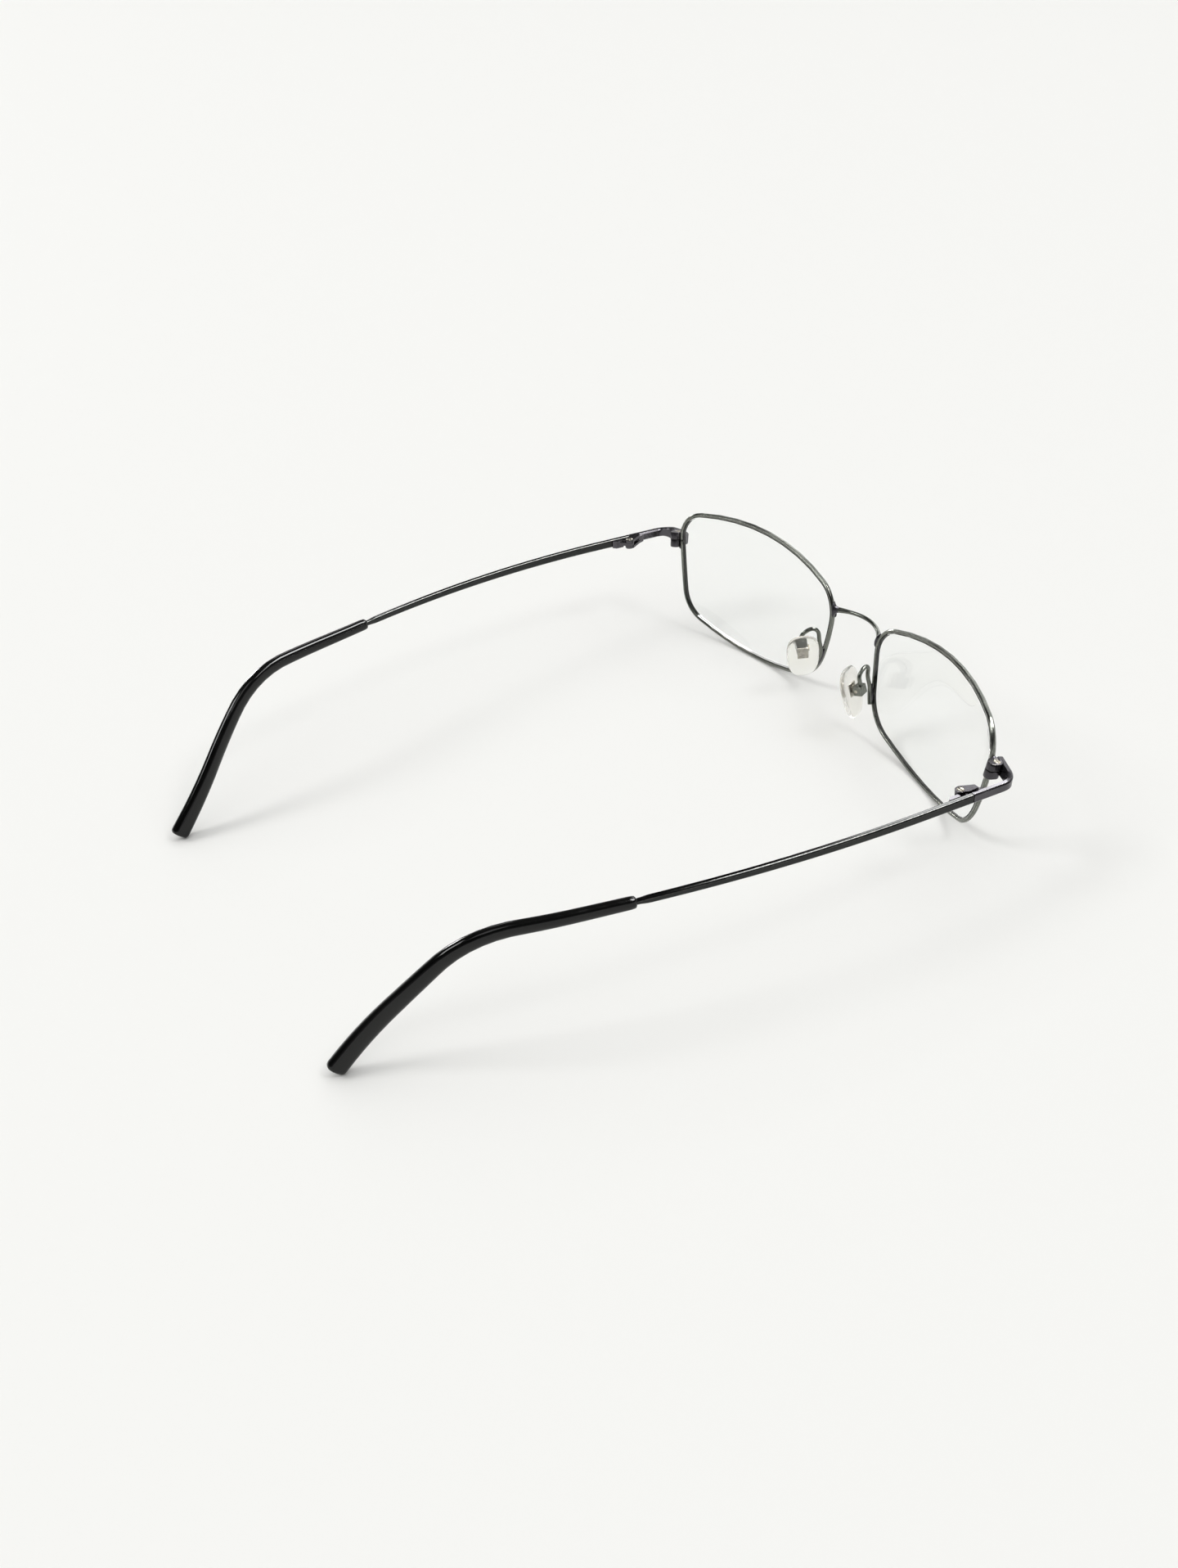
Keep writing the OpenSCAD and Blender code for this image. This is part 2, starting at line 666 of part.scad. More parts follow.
// Barrel of the lock with the web that carries it on the rim, bored and counterbored for its screw
module lock_block(bottom, height, grow) {
  inner = half_wire + seat - grow;
  web = lock_web + grow;
  radius = lock_radius + grow;
  for (y = [0, lock_tail]) translate([lock_reach, y, bottom]) cylinder(r = radius, h = height);
  translate([inner, -web, bottom]) cube([lock_reach - inner, 2 * web, height]);
  translate([lock_reach - radius, 0, bottom]) cube([2 * radius, lock_tail, height]);
}
module lock_half(bottom) {
  difference() {
    lock_block(bottom, (lock_height - lock_split) / 2, 0);
    translate([lock_reach, 0, -lock_height]) cylinder(r = lock_screw_radius + running, h = 2 * lock_height);
    translate([lock_reach, 0, lock_height / 2 - head_height])
      cylinder(r = lock_screw_radius + head_overhang + running, h = lock_height);
  }
}
module lock_upper(side) {
  color([0.16, 0.15, 0.17]) both_sides(side) at_lock() lock_half(lock_split / 2);
}
module lock_lower(side) {
  color([0.16, 0.15, 0.17]) both_sides(side) at_lock() lock_half(-lock_height / 2);
}

// Slotted screw with its head on top at z = 0
slot_share = 0.32;
module screw(radius, head, head_depth, length) {
  slot = head * slot_share;
  difference() {
    union() {
      translate([0, 0, -head_depth]) cylinder(r = head, h = head_depth);
      translate([0, 0, -length]) cylinder(r = radius, h = length - head_depth / 2);
    }
    translate([-2 * head, -slot / 2, -head_depth / 2]) cube([4 * head, slot, head_depth]);
  }
}
module lock_screw(side) {
  color([0.6, 0.58, 0.56]) both_sides(side) at_lock() translate([lock_reach, 0, lock_height / 2 - seat])
    screw(
      lock_screw_radius, lock_screw_radius + head_overhang, head_height - 2 * seat, lock_height - 2 * seat
    );
}

// End piece, hollowed where it is soldered round the lock barrel
module end_piece(side) {
  color([0.22, 0.2, 0.22]) both_sides(side) difference() {
    skin(end_rings);
    at_lock() lock_block(-lock_height, 2 * lock_height, seat);
  }
}

// Front leaf of the hinge: a plate on the end piece with the outer two knuckles
leaf_thickness = 0.85;
front_leaf = 4.3;
temple_leaf = 3.7;
leaf_lip = 0.15;
leaf_height = bar_height - leaf_lip;
leaf_inner = leaf_face - leaf_thickness;
leaf_slope = 1.4;
leaf_edge = 0.25;
arm_root = 1.9;
knuckle_side = barrel_radius - seat;
module flat(points, bottom, height) {
  translate([0, 0, bottom]) linear_extrude(height = height) polygon(points);
}
module hinge_front(side) {
  rear = -pin_setback - leaf_lip;
  plate = [
    [leaf_face, -front_leaf], [leaf_face, rear], [leaf_inner, rear],
    [leaf_inner, leaf_slope - front_leaf], [leaf_face - leaf_edge, -front_leaf]
  ];
  arm = [
    [leaf_face, rear - arm_root], [leaf_face, rear], [knuckle_side, 0],
    [-knuckle_side, 0], [-knuckle_side, -2 * leaf_edge], [leaf_inner - leaf_edge, rear - arm_root]
  ];
  color([0.26, 0.24, 0.24]) both_sides(side) at_hinge() difference() {
    union() {
      rotate([hinge_pitch, 0, 0]) flat(plate, -leaf_height / 2 - hinge_lift, leaf_height);
      for (bottom = [-barrel_height / 2, ear_bottom]) {
        flat(arm, bottom, ear_height);
        translate([0, 0, bottom]) cylinder(r = barrel_radius, h = ear_height);
      }
    }
    translate([0, 0, -barrel_height]) cylinder(r = pin_radius + seat, h = barrel_height);
    cylinder(r = pin_radius + running, h = barrel_height);
    translate([0, 0, barrel_height / 2 - head_height]) cylinder(r = head_radius + running, h = barrel_height);
  }
}

// Temple leaf of the hinge: a plate on the bar with the middle knuckle
module hinge_temple(side) {
  front = barrel_radius + leaf_lip;
  plate = [
    [leaf_face, front], [leaf_face, temple_leaf], [leaf_face - leaf_edge, temple_leaf],
    [leaf_inner, temple_leaf - leaf_slope / 2], [leaf_inner, front]
  ];
  arm = [
    [knuckle_side, 0], [leaf_face, front], [leaf_face, front + arm_root / 2],
    [leaf_inner, front + arm_root / 2], [-knuckle_side, 0]
  ];
  color([0.26, 0.24, 0.24]) both_sides(side) at_hinge() difference() {
    union() {
      rotate([hinge_pitch, 0, 0]) flat(plate, -leaf_height / 2 - hinge_lift, leaf_height);
      flat(arm, -middle_knuckle / 2, middle_knuckle);
      translate([0, 0, -middle_knuckle / 2]) cylinder(r = barrel_radius, h = middle_knuckle);
    }
    translate([0, 0, -barrel_height]) cylinder(r = pin_radius + running, h = 2 * barrel_height);
  }
}

// Hinge pin, a slotted screw
module hinge_screw(side) {
  color([0.6, 0.58, 0.56]) both_sides(side) at_hinge() translate([0, 0, barrel_height / 2 - seat])
    screw(pin_radius, head_radius, head_height - 2 * seat, barrel_height - 2 * seat);
}

// Temple bar with the core that holds the tip
module temple(side) {
  color([0.22, 0.2, 0.22]) both_sides(side)
    skin([for (s = concat(bar_places, core_places)) bar_ring(s, 0)]);
}

// Plastic tip, hollow along the core
module tip(side) {
  cavity = concat([bar_length - nose_round], core_places, [core_end + 2 * running]);
  color([0.03, 0.03, 0.03]) both_sides(side) difference() {
    skin(tip_rings);
    skin([for (s = cavity) bar_ring(s, running)]);
  }
}

// Pad arm, one bent wire
module pad_arm(side) {
  color([0.18, 0.17, 0.18]) both_sides(side) skin(arm_rings);
}

// Box on the end of the pad arm, open towards the pad
module pad_box(side) {
  color([0.16, 0.15, 0.16]) both_sides(side) at_pad() difference() {
    translate([-box_width / 2, -box_back, -box_half]) cube([box_width, box_back + box_front, 2 * box_half]);
    translate([-slot_width / 2, -slot_back, -slot_half])
      cube([slot_width, box_back + 2 * box_front, 2 * slot_half]);
    translate([-box_width, 0, 0]) rotate([0, 90, 0]) cylinder(r = pad_screw_radius + seat, h = 2 * box_width);
  }
}
module pad_screw(side) {
  color([0.7, 0.68, 0.66]) both_sides(side) at_pad()
    translate([-box_width / 2 - screw_head_height - seat, 0, 0]) rotate([0, -90, 0])
    screw(pad_screw_radius, screw_head, screw_head_height, box_width + screw_head_height);
}

// Plate inside the pad and the lug that turns on the pad screw
module pad_insert_shape(grow) {
  insert_back = insert_middle - insert_thickness / 2 - grow;
  translate([-insert_width / 2 - grow, insert_back, -insert_height / 2 - grow])
    cube([insert_width + 2 * grow, insert_thickness + 2 * grow, insert_height + 2 * grow]);
  translate([-lug_width / 2 - grow, -lug_back, -lug_half - grow])
    cube([lug_width + 2 * grow, lug_back + insert_middle, 2 * lug_half + 2 * grow]);
}
module pad_insert(side) {
  color([0.62, 0.6, 0.56]) both_sides(side) at_pad() difference() {
    pad_insert_shape(0);
    translate([-box_width, 0, 0]) rotate([0, 90, 0])
      cylinder(r = pad_screw_radius + running, h = 2 * box_width);
  }
}

// Soft clear pad moulded round the plate
module nose_pad(side) {
  color([0.92, 0.93, 0.9, 0.5]) both_sides(side) at_pad() difference() {
    translate([0, standoff, -pad_lift]) skin(pad_rings);
    pad_insert_shape(seat);
  }
}

rim("left");  // rim_left
rim("right");  // rim_right
lens("left");  // lens_left
lens("right");  // lens_right
bridge();
lock_upper("left");  // lock_upper_left
lock_upper("right");  // lock_upper_right
lock_lower("left");  // lock_lower_left
lock_lower("right");  // lock_lower_right
lock_screw("left");  // lock_screw_left
lock_screw("right");  // lock_screw_right
end_piece("left");  // end_piece_left
end_piece("right");  // end_piece_right
hinge_front("left");  // hinge_front_left
hinge_front("right");  // hinge_front_right
hinge_temple("left");  // hinge_temple_left
hinge_temple("right");  // hinge_temple_right
hinge_screw("left");  // hinge_screw_left
hinge_screw("right");  // hinge_screw_right
temple("left");  // temple_left
temple("right");  // temple_right
tip("left");  // tip_left
tip("right");  // tip_right
pad_arm("left");  // pad_arm_left
pad_arm("right");  // pad_arm_right
pad_box("left");  // pad_box_left
pad_box("right");  // pad_box_right
pad_screw("left");  // pad_screw_left
pad_screw("right");  // pad_screw_right
nose_pad("left");  // nose_pad_left
nose_pad("right");  // nose_pad_right
pad_insert("left");  // pad_insert_left
pad_insert("right");  // pad_insert_right
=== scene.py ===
import bpy
import bmesh
import math
from mathutils import Matrix, Vector


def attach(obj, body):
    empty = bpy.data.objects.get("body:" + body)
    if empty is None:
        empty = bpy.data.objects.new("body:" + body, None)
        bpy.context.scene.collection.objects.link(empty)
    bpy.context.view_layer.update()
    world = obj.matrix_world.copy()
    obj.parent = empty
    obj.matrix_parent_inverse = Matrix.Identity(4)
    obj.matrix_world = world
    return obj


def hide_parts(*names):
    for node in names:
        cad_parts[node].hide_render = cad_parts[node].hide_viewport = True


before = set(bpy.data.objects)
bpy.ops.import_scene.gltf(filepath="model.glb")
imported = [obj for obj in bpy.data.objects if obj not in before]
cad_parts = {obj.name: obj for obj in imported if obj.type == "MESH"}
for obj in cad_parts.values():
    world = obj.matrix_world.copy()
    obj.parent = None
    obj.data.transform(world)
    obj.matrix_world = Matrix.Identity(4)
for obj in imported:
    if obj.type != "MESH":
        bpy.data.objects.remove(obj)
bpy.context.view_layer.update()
mm = 0.001  # the frame is in metres, the sizes of the pieces in mm
weldGap = 0.001 * mm  # corners closer than this are one corner
sides = ("left", "right")
print("frame loaded with", len(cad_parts), "solids")


def hexColour(code):  # sRGB hex to the linear numbers that a socket takes
    parts = [int(code[i:i + 2], 16) / 255 for i in (1, 3, 5)]
    return [c / 12.92 if c <= 0.04045 else ((c + 0.055) / 1.055) ** 2.4 for c in parts] + [1]


def addNode(tree, kind, settings=None, links=None):  # one node with its settings and what feeds it
    node = tree.nodes.new(kind)
    for key, value in (settings or {}).items():
        if isinstance(key, str) and hasattr(node, key):
            setattr(node, key, value)
        else:
            node.inputs[key].default_value = value
    for key, source in (links or {}).items():
        tree.links.new(source, node.inputs[key])
    return node


def startMaterial(name, settings):
    material = bpy.data.materials.new(name)
    material.use_nodes = True
    shader = material.node_tree.nodes["Principled BSDF"]
    for key, value in settings.items():
        shader.inputs[key].default_value = value
    return material, material.node_tree, shader


noiseSpan = (0.3, 0.7)  # nearly all of a noise pattern lies between these levels


def driftingTone(tree, shader, look, detail):  # colour and gloss that drift together over look["patch"] mm
    place = addNode(tree, "ShaderNodeTexCoord").outputs["Object"]
    cloud = addNode(tree, "ShaderNodeTexNoise", {"Scale": 1 / (look["patch"] * mm), "Detail": detail},
                    {"Vector": place}).outputs["Fac"]
    tones = {"Color1": hexColour(look["deep"]), "Color2": hexColour(look["pale"])}
    tone = addNode(tree, "ShaderNodeMixRGB", tones, {"Fac": cloud}).outputs["Color"]
    gloss = addNode(tree, "ShaderNodeMapRange", {"From Min": noiseSpan[0], "From Max": noiseSpan[1],
                                                 "To Min": look["gloss"][0], "To Max": look["gloss"][1]},
                    {"Value": cloud}).outputs["Result"]
    tree.links.new(gloss, shader.inputs["Roughness"])
    return place, tone


def shallowRipple(tree, shader, place, look, detail):  # look["grain"] mm wide and look["dent"] mm deep
    height = addNode(tree, "ShaderNodeTexNoise", {"Scale": 1 / (look["grain"] * mm), "Detail": detail},
                     {"Vector": place}).outputs["Fac"]
    ripple = addNode(tree, "ShaderNodeBump", {"Strength": look["ripple"], "Distance": look["dent"] * mm},
                     {"Height": height})
    tree.links.new(ripple.outputs["Normal"], shader.inputs["Normal"])


speckSpan = (0.42, 0.62)  # noise levels from plating that holds to plating that is rubbed through


# Polished metal, most of it nickel silver under a dark gunmetal plating: a smoky mirror with hazy patches and
# specks of paler metal on the rounded edges. The polishing marks are finer than a pixel and are drawn wider,
# so that they show. patch, chip and grain are the widths in mm of patches, specks and marks, and wear is
# how much the specks show
def polishedMetal(name, look):
    material, tree, shader = startMaterial(name, {"Metallic": 1.0})
    place, tone = driftingTone(tree, shader, look, detail=3.0)
    speck = addNode(tree, "ShaderNodeTexNoise", {"Scale": 1 / (look["chip"] * mm), "Detail": 2.0},
                    {"Vector": place}).outputs["Fac"]
    chipped = addNode(tree, "ShaderNodeMapRange", {"From Min": speckSpan[0], "From Max": speckSpan[1],
                                                   "To Max": look["wear"]},
                      {"Value": speck}).outputs["Result"]
    edge = addNode(tree, "ShaderNodeAttribute", {"attribute_name": "edgeRub"}).outputs["Fac"]
    rubbed = addNode(tree, "ShaderNodeMath", {"operation": "MULTIPLY"},
                     {0: edge, 1: chipped}).outputs["Value"]
    colour = addNode(tree, "ShaderNodeMixRGB", {"Color2": hexColour(look["bare"])},
                     {"Fac": rubbed, "Color1": tone}).outputs["Color"]
    tree.links.new(colour, shader.inputs["Base Color"])
    shallowRipple(tree, shader, place, look, detail=2.0)
    return material


# drawn rim wire, plated after it was bent: a satin grey mirror with clear rubbed corners
rimPlating = polishedMetal("gunmetalRimPlating", {
    "deep": "#62645F", "pale": "#7A7D76", "bare": "#C4C1BA", "gloss": (0.16, 0.28),
    "patch": 7, "chip": 0.5, "wear": 0.7, "grain": 0.25, "ripple": 0.25, "dent": 0.01})
# rolled and polished temple bar: the darkest and smoothest plating, with hardly any wear
barPlating = polishedMetal("gunmetalBarPlating", {
    "deep": "#2B2C2C", "pale": "#3F403F", "bare": "#807E7A", "gloss": (0.06, 0.13),
    "patch": 14, "chip": 0.6, "wear": 0.2, "grain": 0.3, "ripple": 0.12, "dent": 0.01})
# pressed end piece and hinge leaves: a faintly purple grey, worn bright along the edges
hingePlating = polishedMetal("gunmetalHingePlating", {
    "deep": "#4A494C", "pale": "#626064", "bare": "#A6A3A1", "gloss": (0.14, 0.26),
    "patch": 4, "chip": 0.6, "wear": 0.8, "grain": 0.3, "ripple": 0.25, "dent": 0.01})
# silver solder that flowed and set, then plated: dull, uneven and slightly purple
solderPlating = polishedMetal("platedSilverSolder", {
    "deep": "#3E3D3F", "pale": "#57555A", "bare": "#A5A29C", "gloss": (0.22, 0.4),
    "patch": 2, "chip": 0.3, "wear": 0.3, "grain": 0.2, "ripple": 0.6, "dent": 0.01})
# turned screw, left unplated: a warm bright steel
screwSteel = polishedMetal("polishedScrewSteel", {
    "deep": "#A39F95", "pale": "#D2CCBD", "bare": "#EDEAE2", "gloss": (0.16, 0.32),
    "patch": 1, "chip": 0.3, "wear": 0.8, "grain": 0.12, "ripple": 0.35, "dent": 0.01})
# stamped insert plate inside the pad, left unplated: a mid grey steel with a dull sheen
insertSteel = polishedMetal("bareInsertMetal", {
    "deep": "#8F8C86", "pale": "#B9B5AC", "bare": "#DCD8CF", "gloss": (0.2, 0.36),
    "patch": 1.5, "chip": 0.3, "wear": 0.5, "grain": 0.2, "ripple": 0.3, "dent": 0.01})


# Tip plastic: tumbled black acetate, deep black with a soft gloss, faint clouds of grey from handling and
# shallow waves from the tumbling
def blackAcetate(name, look):
    material, tree, shader = startMaterial(name, {"IOR": look["ior"], "Specular IOR Level": look["shine"]})
    place, tone = driftingTone(tree, shader, look, detail=4.0)
    tree.links.new(tone, shader.inputs["Base Color"])
    shallowRipple(tree, shader, place, look, detail=1.0)
    return material


tipAcetate = blackAcetate("tumbledBlackAcetate", {
    "deep": "#020202", "pale": "#0B0C0B", "gloss": (0.06, 0.15), "ior": 1.49, "shine": 0.36,
    "patch": 3, "grain": 1.6, "ripple": 0.25, "dent": 0.02})


# Clear stock: moulded plastic that lamp light passes straight through, so its shadow stays pale. clear is
# how much shows through it, and shadow tints the light that has passed
def clearStock(name, look):
    material, tree, shader = startMaterial(name, {"Transmission Weight": look["clear"], "IOR": look["ior"],
                                                  "Specular IOR Level": look["shine"]})
    _, tone = driftingTone(tree, shader, look, detail=3.0)
    tree.links.new(tone, shader.inputs["Base Color"])
    rays = addNode(tree, "ShaderNodeLightPath").outputs
    lampRay = addNode(tree, "ShaderNodeMath", {"operation": "MAXIMUM"},
                      {0: rays["Is Shadow Ray"], 1: rays["Is Diffuse Ray"]}).outputs["Value"]
    through = addNode(tree, "ShaderNodeBsdfTransparent", {"Color": hexColour(look["shadow"])})
    mixed = addNode(tree, "ShaderNodeMixShader", None,
                    {0: lampRay, 1: shader.outputs["BSDF"], 2: through.outputs["BSDF"]})
    tree.links.new(mixed.outputs["Shader"], tree.nodes["Material Output"].inputs["Surface"])
    return material


# moulded demo lens, polished on both faces: all but invisible, with the faint reflections of a coated lens
lensPlastic = clearStock("clearLensPlastic", {
    "deep": "#FAFCFB", "pale": "#FFFFFF", "gloss": (0.0, 0.02), "patch": 20,
    "ior": 1.5, "clear": 1.0, "shine": 0.2, "shadow": "#FAFAFA"})
# moulded silicone pad: clear with a slight creamy haze. Its IOR is under silicone's 1.4, which looked dark
padSilicone = clearStock("clearPadSilicone", {
    "deep": "#FBF9F1", "pale": "#FFFFFF", "gloss": (0.12, 0.22), "patch": 3,
    "ior": 1.25, "clear": 0.95, "shine": 0.4, "shadow": "#F1F0EC"})
print("materials made")


def copyNode(name):  # the solid's own mesh, with its loose triangles merged
    mesh = bmesh.new()
    mesh.from_mesh(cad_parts[name].data)
    bmesh.ops.remove_doubles(mesh, verts=mesh.verts, dist=weldGap)
    return mesh


def roundEdges(mesh, look):  # rounds every edge that folds more than look["fold"] and marks it as rubbed
    flat, fold = math.radians(look["flat"]), math.radians(look["fold"])
    bmesh.ops.dissolve_limit(mesh, angle_limit=flat, verts=mesh.verts, edges=mesh.edges)
    rub = mesh.faces.layers.float.new("edgeRub")
    sharp = [edge for edge in mesh.edges if len(edge.link_faces) == 2 and edge.calc_face_angle() > fold]
    made = bmesh.ops.bevel(mesh, geom=sharp, affect="EDGES", offset=look["width"] * mm,
                           offset_type="OFFSET", segments=look["segments"], profile=0.5, material=-1,
                           clamp_overlap=True)
    for face in made["faces"]:
        face[rub] = 1.0


def pieceName(kind, side):  # end_piece on the left is EndPieceLeft
    return kind.title().replace("_", "") + side.title()


# crease is in degrees, and an edge that folds more stays hard. flats keeps flat faces from shading as bulged
def finishPiece(mesh, name, body, material, nodes, crease=40, flats=True):
    for face in mesh.faces:
        face.smooth = True
    for edge in mesh.edges:
        if len(edge.link_faces) == 2:
            edge.smooth = edge.calc_face_angle() < math.radians(crease)
    data = bpy.data.meshes.new(name)
    mesh.to_mesh(data)
    mesh.free()
    data.materials.append(material)
    piece = bpy.data.objects.new(name, data)
    bpy.context.collection.objects.link(piece)
    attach(piece, body)
    if nodes:
        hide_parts(*nodes)
    if flats:
        piece.modifiers.new("flatFacesStayFlat", "WEIGHTED_NORMAL").keep_sharp = True


# pieces that are the solids with their edges rounded, width in mm
edgeLook = {
    "rim": {"width": 0.06, "material": rimPlating, "slot": "gunmetal_rim"},
    "end_piece": {"width": 0.09, "material": hingePlating, "slot": "gunmetal_bar"},
    "temple": {"width": 0.13, "material": barPlating, "slot": "gunmetal_bar"},
    "lock_upper": {"width": 0.22, "material": solderPlating, "slot": "gunmetal_rim"},
    "lock_lower": {"width": 0.22, "material": solderPlating, "slot": "gunmetal_rim"},
    "hinge_front": {"width": 0.05, "material": hingePlating, "slot": "gunmetal_bar"},
    "hinge_temple": {"width": 0.05, "material": hingePlating, "slot": "gunmetal_bar"},
    "lock_screw": {"width": 0.03, "material": screwSteel, "slot": "screw_steel"},
    "hinge_screw": {"width": 0.03, "material": screwSteel, "slot": "screw_steel"},
    "pad_screw": {"width": 0.03, "material": screwSteel, "slot": "screw_steel"},
    "pad_box": {"width": 0.08, "material": rimPlating, "slot": "gunmetal_rim"},
    "pad_insert": {"width": 0.05, "material": insertSteel, "slot": "insert_metal"},
}
# in degrees: faces that turn less than flat are joined, and edges that fold more than fold are rounded
edgeRounding = {"flat": 0.6, "fold": 28, "segments": 2}
carriers = {"temple": "temple", "tip": "temple", "hinge_temple": "temple", "pad_insert": "pad"}


def bodyOf(kind, side):  # the body that a piece moves with
    return carriers[kind] + "_" + side if kind in carriers else "front"


for kind, look in edgeLook.items():
    for side in sides:
        mesh = copyNode(kind + "_" + side)
        roundEdges(mesh, {**edgeRounding, **look})
        finishPiece(mesh, pieceName(kind, side), bodyOf(kind, side), look["material"],
                    [kind + "_" + side])
print("edges rounded")

# pieces that are smooth already and keep the solid's own shape, crease in degrees
smoothLook = {
    "tip": {"material": tipAcetate, "slot": "black_plastic", "crease": 60},
    "pad_arm": {"material": rimPlating, "slot": "gunmetal_rim", "crease": 60},
    "lens": {"material": lensPlastic, "slot": "lens_glass", "crease": 30},
}
for kind, look in smoothLook.items():
    for side in sides:
        finishPiece(copyNode(kind + "_" + side), pieceName(kind, side), bodyOf(kind, side),
                    look["material"], [kind + "_" + side], look["crease"])
finishPiece(copyNode("bridge"), "BridgeWire", "front", rimPlating, ["bridge"], crease=60)
print("smooth pieces made")


def spinSection(section, turns):  # a closed round shape from its section, out and up from pole to pole
    mesh = bmesh.new()
    points = [mesh.verts.new((out, 0, up)) for out, up in section]
    line = [mesh.edges.new(pair) for pair in zip(points, points[1:])]
    bmesh.ops.spin(mesh, geom=points + line, cent=(0, 0, 0), axis=(0, 0, 1), angle=math.tau, steps=turns,
                   use_merge=True)
    bmesh.ops.remove_doubles(mesh, verts=mesh.verts, dist=weldGap)
    return mesh


def setInPlace(mesh, look, side):  # turns a shape built upright onto its place, mirrored for the right side
    rise = Vector(look["rise"]).normalized()
    run = Vector(look["run"])
    run = (run - run.dot(rise) * rise).normalized()
    turn = Matrix((run, rise.cross(run), rise)).transposed().to_4x4()
    bmesh.ops.transform(mesh, verts=mesh.verts, matrix=Matrix.Translation(Vector(look["at"]) * mm) @ turn)
    if side == "right":
        bmesh.ops.scale(mesh, verts=mesh.verts, vec=(-1, 1, 1))
    bmesh.ops.recalc_face_normals(mesh, faces=mesh.faces)


# pads: the silicone is moulded round the plate, one closed cushion with a rounded edge. at is the middle in
# mm, rise its thin way and run its long way. profile is half the section, out and up, for a half size of 1;
# square bends the round outline to a squarer one, and taper narrows the foot
padLook = {"at": (9.2, -61.926, 11.9), "rise": (-0.879, 0.428, -0.208), "run": (-0.187, 0.091, 0.978),
           "profile": [(0, 1), (0.35, 0.99), (0.6, 0.94), (0.8, 0.8), (0.92, 0.58), (0.98, 0.3), (1, 0)],
           "tall": 11.45, "wide": 7.5, "thick": 1.33, "square": 0.72, "taper": 0.13, "turns": 64,
           "crease": 80}


def mouldPad(look, side):
    half = look["profile"]
    mesh = spinSection(half + [(out, -up) for out, up in half[-2::-1]], look["turns"])
    for point in mesh.verts:
        out = max(math.hypot(point.co.x, point.co.y), 0.0001)  # never 0 at the poles, as it divides
        along, across = (math.copysign(abs(c / out) ** look["square"], c) for c in (point.co.x, point.co.y))
        point.co.x = out * along
        point.co.y = out * across * (1 - look["taper"] * (1 - out * along) / 2)
    bmesh.ops.scale(mesh, verts=mesh.verts, vec=[look[way] / 2 * mm for way in ("tall", "wide", "thick")])
    setInPlace(mesh, look, side)
    finishPiece(mesh, "PadCushion" + side.title(), "pad_" + side, padSilicone,
                ["nose_pad_" + side], look["crease"], flats=False)


for side in sides:
    mouldPad(padLook, side)
print("pads moulded")

# solder that has climbed the bridge wire from each rim: at and profile in mm, rise up the wire, run along
# the rim, where skirt makes the foot longer
collarLook = {"at": (8.30, -69.66, 21.16), "rise": (-0.797, -0.604, 0), "run": (-0.314, 0.171, -0.934),
              "profile": [(0, 1.25), (0.5, 1.25), (0.62, 1.05), (0.64, 0.8), (0.68, 0.5), (0.76, 0.25),
                          (0.86, 0), (0.8, -0.25), (0, -0.35)],
              "skirt": 1.1, "turns": 28}
solderCrease = 70  # degrees, so that set solder has no hard edges


def solderBridge(look, side):
    mesh = spinSection([(out * mm, up * mm) for out, up in look["profile"]], look["turns"])
    tall = look["profile"][0][1] * mm
    for point in mesh.verts:
        point.co.x *= 1 + look["skirt"] * max(0, 1 - max(0, point.co.z) / tall) ** 3
    setInPlace(mesh, look, side)
    finishPiece(mesh, "BridgeSolder" + side.title(), "front", solderPlating, [],
                solderCrease)


for side in sides:
    solderBridge(collarLook, side)
print("bridge soldered")

# beads of solder along the other joints: size is length, width and depth in mm, rise points away from the
# joint and run along it
beadLook = [
    {"name": "BridgeLapBead", "at": (8.52, -70.02, 19.75), "size": (1.5, 0.85, 0.8),
     "rise": (0.30, -0.94, -0.17), "run": (-0.15, 0.17, -0.97)},
    {"name": "PadArmBead", "at": (9.52, -66.72, 9.75), "size": (4.6, 1.05, 0.95),
     "rise": (-0.175, 0.96, 0.218), "run": (0.26, 0.24, -0.93)},
    {"name": "LockTopBead", "at": (57.8, -60.95, 22.15), "size": (1.0, 1.0, 0.6),
     "rise": (0.5, 0.0, 0.87), "run": (0.97, 0.2, -0.1)},
    {"name": "LockFootBead", "at": (57.5, -60.35, 18.8), "size": (1.0, 1.1, 0.7),
     "rise": (0.6, 0.1, -0.8), "run": (0.97, 0.2, -0.1)},
    {"name": "EndPieceBead", "at": (58.75, -61.55, 21.9), "size": (1.9, 0.7, 0.6),
     "rise": (0.1, 0.25, 0.97), "run": (0.95, 0.29, 0.0)},
]


def layBead(look, side):  # a ball 1 mm across, stretched to the bead's size
    mesh = bmesh.new()
    bmesh.ops.create_icosphere(mesh, subdivisions=3, radius=0.5 * mm)
    bmesh.ops.scale(mesh, verts=mesh.verts, vec=look["size"])
    setInPlace(mesh, look, side)
    finishPiece(mesh, look["name"] + side.title(), "front", solderPlating, [],
                solderCrease)


for look in beadLook:
    for side in sides:
        layBead(look, side)
print("beads laid")

# camera from the photograph: place and nearest in metres, angles in degrees, focal and tall in pixels of the
# photograph, sensor in mm
photoView = {"place": (-0.30433, 0.13657, 0.23680), "yaw": 245.304, "pitch": 34.413, "roll": -6.592,
             "focal": 2423.8, "tall": 1916, "sensor": 36, "nearest": 0.01}


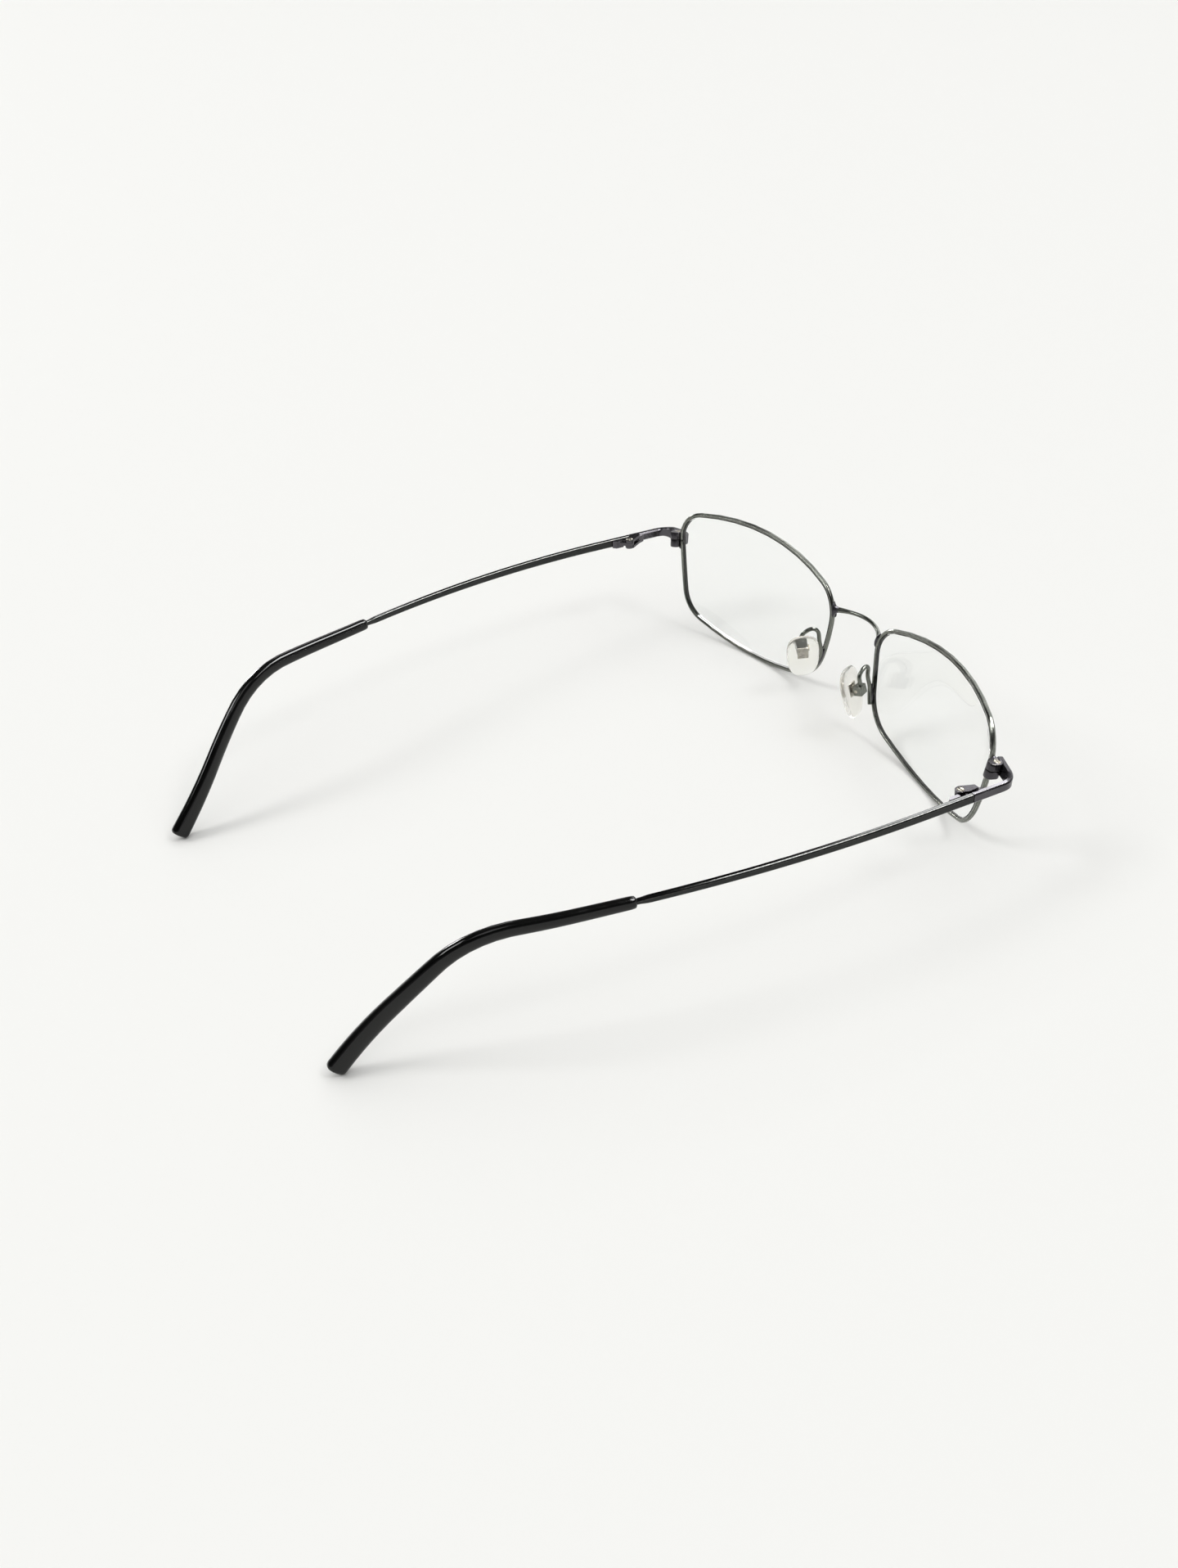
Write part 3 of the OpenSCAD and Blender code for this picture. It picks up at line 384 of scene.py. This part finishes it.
def setCamera(view):
    yaw, pitch, roll = (math.radians(view[turn]) for turn in ("yaw", "pitch", "roll"))
    ahead = Vector((-math.sin(yaw) * math.cos(pitch), math.cos(yaw) * math.cos(pitch), -math.sin(pitch)))
    level = ahead.cross(Vector((0, 0, 1))).normalized()
    over = level.cross(ahead)
    right = math.cos(roll) * level + math.sin(roll) * over
    up = math.cos(roll) * over - math.sin(roll) * level
    data = bpy.data.cameras.new("photoCamera")
    data.sensor_width = view["sensor"]
    data.lens = view["focal"] / view["tall"] * data.sensor_width
    data.clip_start = view["nearest"]
    camera = bpy.data.objects.new("photoCamera", data)
    turn = Matrix((right, up, -ahead)).transposed().to_4x4()
    camera.matrix_world = Matrix.Translation(view["place"]) @ turn
    bpy.context.collection.objects.link(camera)
    bpy.context.scene.camera = camera


setCamera(photoView)

# matt white paper under the glasses, its size in metres
sheetLook = {"colour": "#F1F1EE", "size": 30.0, "roughness": 0.9, "shine": 0.2}


def laySheet(look):
    sheet = bmesh.new()
    bmesh.ops.create_grid(sheet, x_segments=1, y_segments=1, size=look["size"] / 2)
    data = bpy.data.meshes.new("whiteSheet")
    sheet.to_mesh(data)
    sheet.free()
    floor = bpy.data.objects.new("whiteSheet", data)
    bpy.context.collection.objects.link(floor)
    material, _, _ = startMaterial("mattWhitePaper", {"Base Color": hexColour(look["colour"]),
                                                      "Roughness": look["roughness"],
                                                      "Specular IOR Level": look["shine"]})
    data.materials.append(material)


laySheet(sheetLook)

# the room that polished faces show: a pale horizon under a dim ceiling, and a darker back wall towards +Y.
# heights and backs are the up and +Y parts of the direction looked in. The camera gets the even backdrop
# instead, also through clear plastic
roomLook = {"backdrop": 0.88, "horizon": 1.0, "ceiling": 0.1, "heights": (0.02, 0.32),
            "backWall": 0.3, "backs": (0.0, 0.5)}


def paintRoom(look):
    world = bpy.data.worlds.new("paleRoom")
    world.use_nodes = True
    bpy.context.scene.world = world
    tree = world.node_tree
    way = addNode(tree, "ShaderNodeTexCoord").outputs["Generated"]
    parts = addNode(tree, "ShaderNodeSeparateXYZ", None, {"Vector": way}).outputs
    low, high = look["heights"]
    level = addNode(tree, "ShaderNodeMapRange", {"interpolation_type": "SMOOTHSTEP",
                                                 "From Min": low, "From Max": high,
                                                 "To Min": look["horizon"], "To Max": look["ceiling"]},
                    {"Value": parts["Z"]}).outputs["Result"]
    near, far = look["backs"]
    shade = addNode(tree, "ShaderNodeMapRange", {"From Min": near, "From Max": far,
                                                 "To Min": 1.0, "To Max": look["backWall"]},
                    {"Value": parts["Y"]}).outputs["Result"]
    mirrored = addNode(tree, "ShaderNodeMath", {"operation": "MULTIPLY"},
                       {0: level, 1: shade}).outputs["Value"]
    rays = addNode(tree, "ShaderNodeLightPath").outputs
    seen = addNode(tree, "ShaderNodeMath", {"operation": "MAXIMUM"},
                   {0: rays["Is Camera Ray"], 1: rays["Is Transmission Ray"]}).outputs["Value"]
    shown = addNode(tree, "ShaderNodeMix", {"data_type": "FLOAT", 3: look["backdrop"]},
                    {0: seen, 2: mirrored}).outputs[0]  # inputs 2 and 3 are the two levels
    room = tree.nodes["Background"]
    room.inputs["Color"].default_value = hexColour("#FFFFFF")
    tree.links.new(shown, room.inputs["Strength"])


paintRoom(roomLook)

# lamps, all at one distance in metres: from is the side the light comes from, size in metres, power in
# watts. The ceiling light evens the paper and isn't mirrored, and those with matt off show in polished faces
# only
lampDistance = 6.0
lampLook = [
    {"name": "ceilingLight", "from": (0.1, 0, 1), "size": 14.0, "power": 640.0, "polish": False},
    {"name": "softBox", "from": (0.35, 0.63, 0.70), "size": 2.0, "power": 105.0},
    {"name": "sideBox", "from": (-0.5, -0.35, 0.79), "size": 1.3, "power": 45.0},
    {"name": "farWindow", "from": (0.50, -0.71, 0.48), "size": 3.2, "power": 42.0, "matt": False},
    {"name": "hingePanel", "from": (0.643, -0.605, 0.47), "size": 1.0, "power": 24.0, "matt": False},
    {"name": "barPanel", "from": (0.84, -0.23, 0.49), "size": 1.1, "power": 9.0, "matt": False},
    {"name": "tipPanel", "from": (-0.09, -0.55, 0.83), "size": 3.0, "power": 560.0, "matt": False},
    {"name": "roofPanel", "from": (-0.2, 0.31, 0.93), "size": 3.0, "power": 42.0, "matt": False},
    {"name": "bendPanel", "from": (0.965, 0.085, 0.215), "size": 0.9, "power": 76.0, "matt": False},
]


def hangLamp(look):
    lamp = bpy.data.lights.new(look["name"], "AREA")
    lamp.energy = look["power"]
    lamp.size = look["size"]
    stand = bpy.data.objects.new(lamp.name, lamp)
    toward = Vector(look["from"]).normalized()
    stand.location = toward * lampDistance
    stand.rotation_euler = toward.to_track_quat("Z", "Y").to_euler()
    stand.visible_diffuse = look.get("matt", True)
    stand.visible_glossy = look.get("polish", True)
    bpy.context.collection.objects.link(stand)


for look in lampLook:
    hangLamp(look)
bpy.context.scene.view_settings.view_transform = "Standard"
print("camera and studio set")
